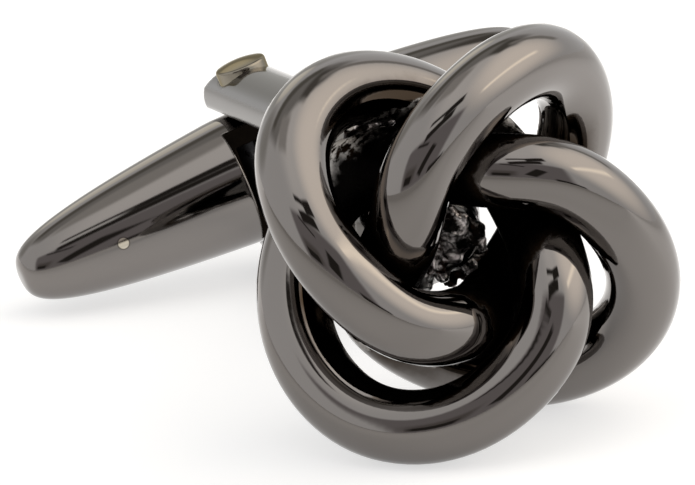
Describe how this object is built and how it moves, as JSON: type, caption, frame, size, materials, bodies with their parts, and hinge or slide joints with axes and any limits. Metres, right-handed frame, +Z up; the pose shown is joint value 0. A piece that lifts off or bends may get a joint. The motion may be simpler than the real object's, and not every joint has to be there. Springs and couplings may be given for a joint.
{
  "type": "knot cufflink with swivel toggle",
  "caption": "Cufflink with an open polished knot on a forked shank, and a bullet-shaped toggle that swivels on a rivet.",
  "frame": {"origin": "centre of the bounding box's bottom face: the point of the table under the middle of the cufflink as it lies", "axes": "+X from the toggle towards the knot's front, level; +Y level, towards the toggle's raised end; +Z up from the table the cufflink lies on"},
  "size_m": [0.0275, 0.02, 0.0139],
  "materials": {
    "knot_metal": "polished gunmetal plate, with its inner side left rough as cast",
    "braze": "rough dark braze",
    "shank_metal": "polished gunmetal plate",
    "rivet_metal": "polished plate, slightly warmer",
    "toggle_metal": "polished gunmetal plate",
    "spring_steel": "plain spring steel"
  },
  "bodies": {
    "head": {"knot": "knot_metal", "solder": "braze", "shank_fork": "shank_metal", "rivet": "rivet_metal"},
    "toggle": {"toggle": "toggle_metal", "leaf_spring": "spring_steel"}
  },
  "joints": [
    {"name": "toggle_swivel", "type": "hinge", "parent": "head", "child": "toggle", "pos_m": [-0.01138, 0, 0.00396], "axis": [0.1306, 0.2487, -0.9597], "continuous": true}
  ]
}
